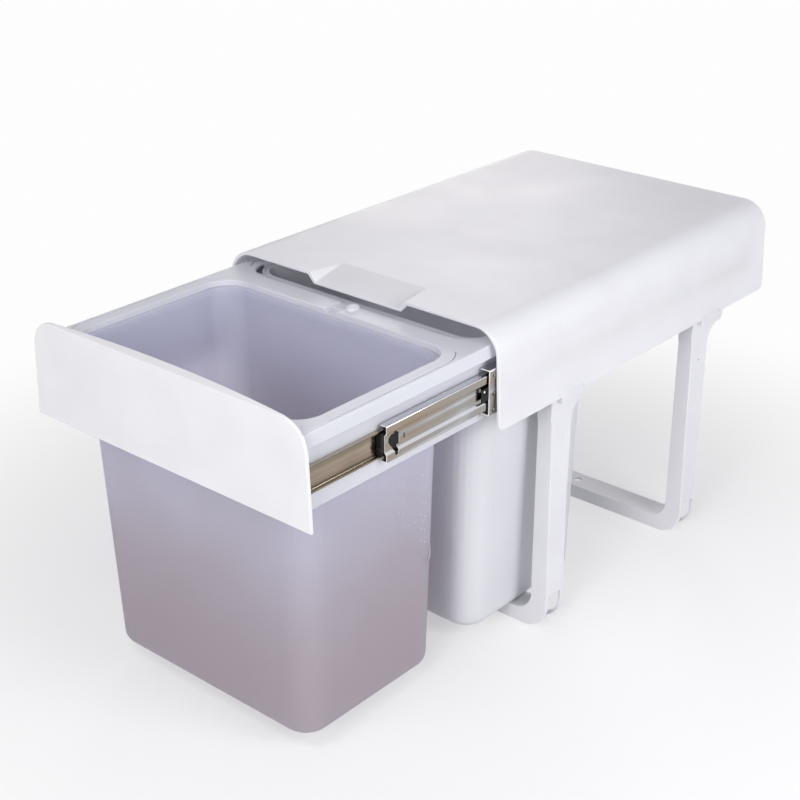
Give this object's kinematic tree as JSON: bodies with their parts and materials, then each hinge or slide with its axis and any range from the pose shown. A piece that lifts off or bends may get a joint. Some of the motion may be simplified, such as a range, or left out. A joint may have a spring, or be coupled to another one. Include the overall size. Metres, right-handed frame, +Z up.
{
  "type": "pull out trash cabinet",
  "caption": "Pull-out waste unit for a floor cupboard: an arched cover on hoop legs over a drawer frame that hangs tapered bins on full-extension ball slides behind a front plate.",
  "frame": {"origin": "on the floor, at the centre of the rectangle of floor screw holes in the legs' crossbars", "axes": "+Z up, +Y to the rear (the drawer pulls out towards -Y), +X to the right seen from the front"},
  "size_m": [0.348, 0.727, 0.36],
  "materials": {
    "white_shell": "white moulded plastic with a fine satin grain",
    "white_frame": "white moulded plastic, a little glossier",
    "frosted_bin": "translucent frosted plastic, smoke lavender",
    "white_bin": "white moulded plastic",
    "slide_steel": "bright zinc-plated rolled steel",
    "ball_steel": "polished bearing steel",
    "screw_steel": "zinc-plated screw",
    "black_plastic": "black moulded plastic"
  },
  "bodies": {
    "housing": {"housing_cover": "white_shell", "front_leg_hoop": "white_shell", "rear_leg_hoop": "white_shell", "outer_slide_screws": "screw_steel", "left_slide_outer": "slide_steel", "right_slide_outer": "slide_steel", "left_rear_stop": "black_plastic", "right_rear_stop": "black_plastic"},
    "drawer": {"drawer_frame": "white_frame", "front_panel": "white_shell", "front_bin": "frosted_bin", "rear_bin": "white_bin", "panel_screws": "screw_steel", "inner_slide_screws": "screw_steel", "left_slide_inner": "slide_steel", "right_slide_inner": "slide_steel"},
    "left_slide_middle_set": {"left_slide_middle": "slide_steel", "left_slide_bumper": "black_plastic"},
    "left_outer_cage_set": {"left_outer_cage": "black_plastic", "left_outer_balls": "ball_steel"},
    "left_inner_cage_set": {"left_inner_cage": "black_plastic", "left_inner_balls": "ball_steel"},
    "right_slide_middle_set": {"right_slide_middle": "slide_steel", "right_slide_bumper": "black_plastic"},
    "right_outer_cage_set": {"right_outer_cage": "black_plastic", "right_outer_balls": "ball_steel"},
    "right_inner_cage_set": {"right_inner_cage": "black_plastic", "right_inner_balls": "ball_steel"}
  },
  "joints": [
    {"name": "drawer_slide", "type": "slide", "parent": "housing", "child": "drawer", "axis": [0, -1, 0], "range_m": [-0.234, 0.216]},
    {"name": "left_slide_middle_slide", "type": "slide", "parent": "housing", "child": "left_slide_middle_set", "axis": [0, -1, 0], "range_m": [-0.1404, 0.1296]},
    {"name": "left_outer_cage_slide", "type": "slide", "parent": "housing", "child": "left_outer_cage_set", "axis": [0, -1, 0], "range_m": [-0.0702, 0.0648]},
    {"name": "left_inner_cage_slide", "type": "slide", "parent": "housing", "child": "left_inner_cage_set", "axis": [0, -1, 0], "range_m": [-0.1872, 0.1728]},
    {"name": "right_slide_middle_slide", "type": "slide", "parent": "housing", "child": "right_slide_middle_set", "axis": [0, -1, 0], "range_m": [-0.1404, 0.1296]},
    {"name": "right_outer_cage_slide", "type": "slide", "parent": "housing", "child": "right_outer_cage_set", "axis": [0, -1, 0], "range_m": [-0.0702, 0.0648]},
    {"name": "right_inner_cage_slide", "type": "slide", "parent": "housing", "child": "right_inner_cage_set", "axis": [0, -1, 0], "range_m": [-0.1872, 0.1728]}
  ],
  "couplings": [
    {"joint": "left_slide_middle_slide", "follows": "drawer_slide", "ratio": 0.6},
    {"joint": "left_outer_cage_slide", "follows": "drawer_slide", "ratio": 0.3},
    {"joint": "left_inner_cage_slide", "follows": "drawer_slide", "ratio": 0.8},
    {"joint": "right_slide_middle_slide", "follows": "drawer_slide", "ratio": 0.6},
    {"joint": "right_outer_cage_slide", "follows": "drawer_slide", "ratio": 0.3},
    {"joint": "right_inner_cage_slide", "follows": "drawer_slide", "ratio": 0.8}
  ]
}
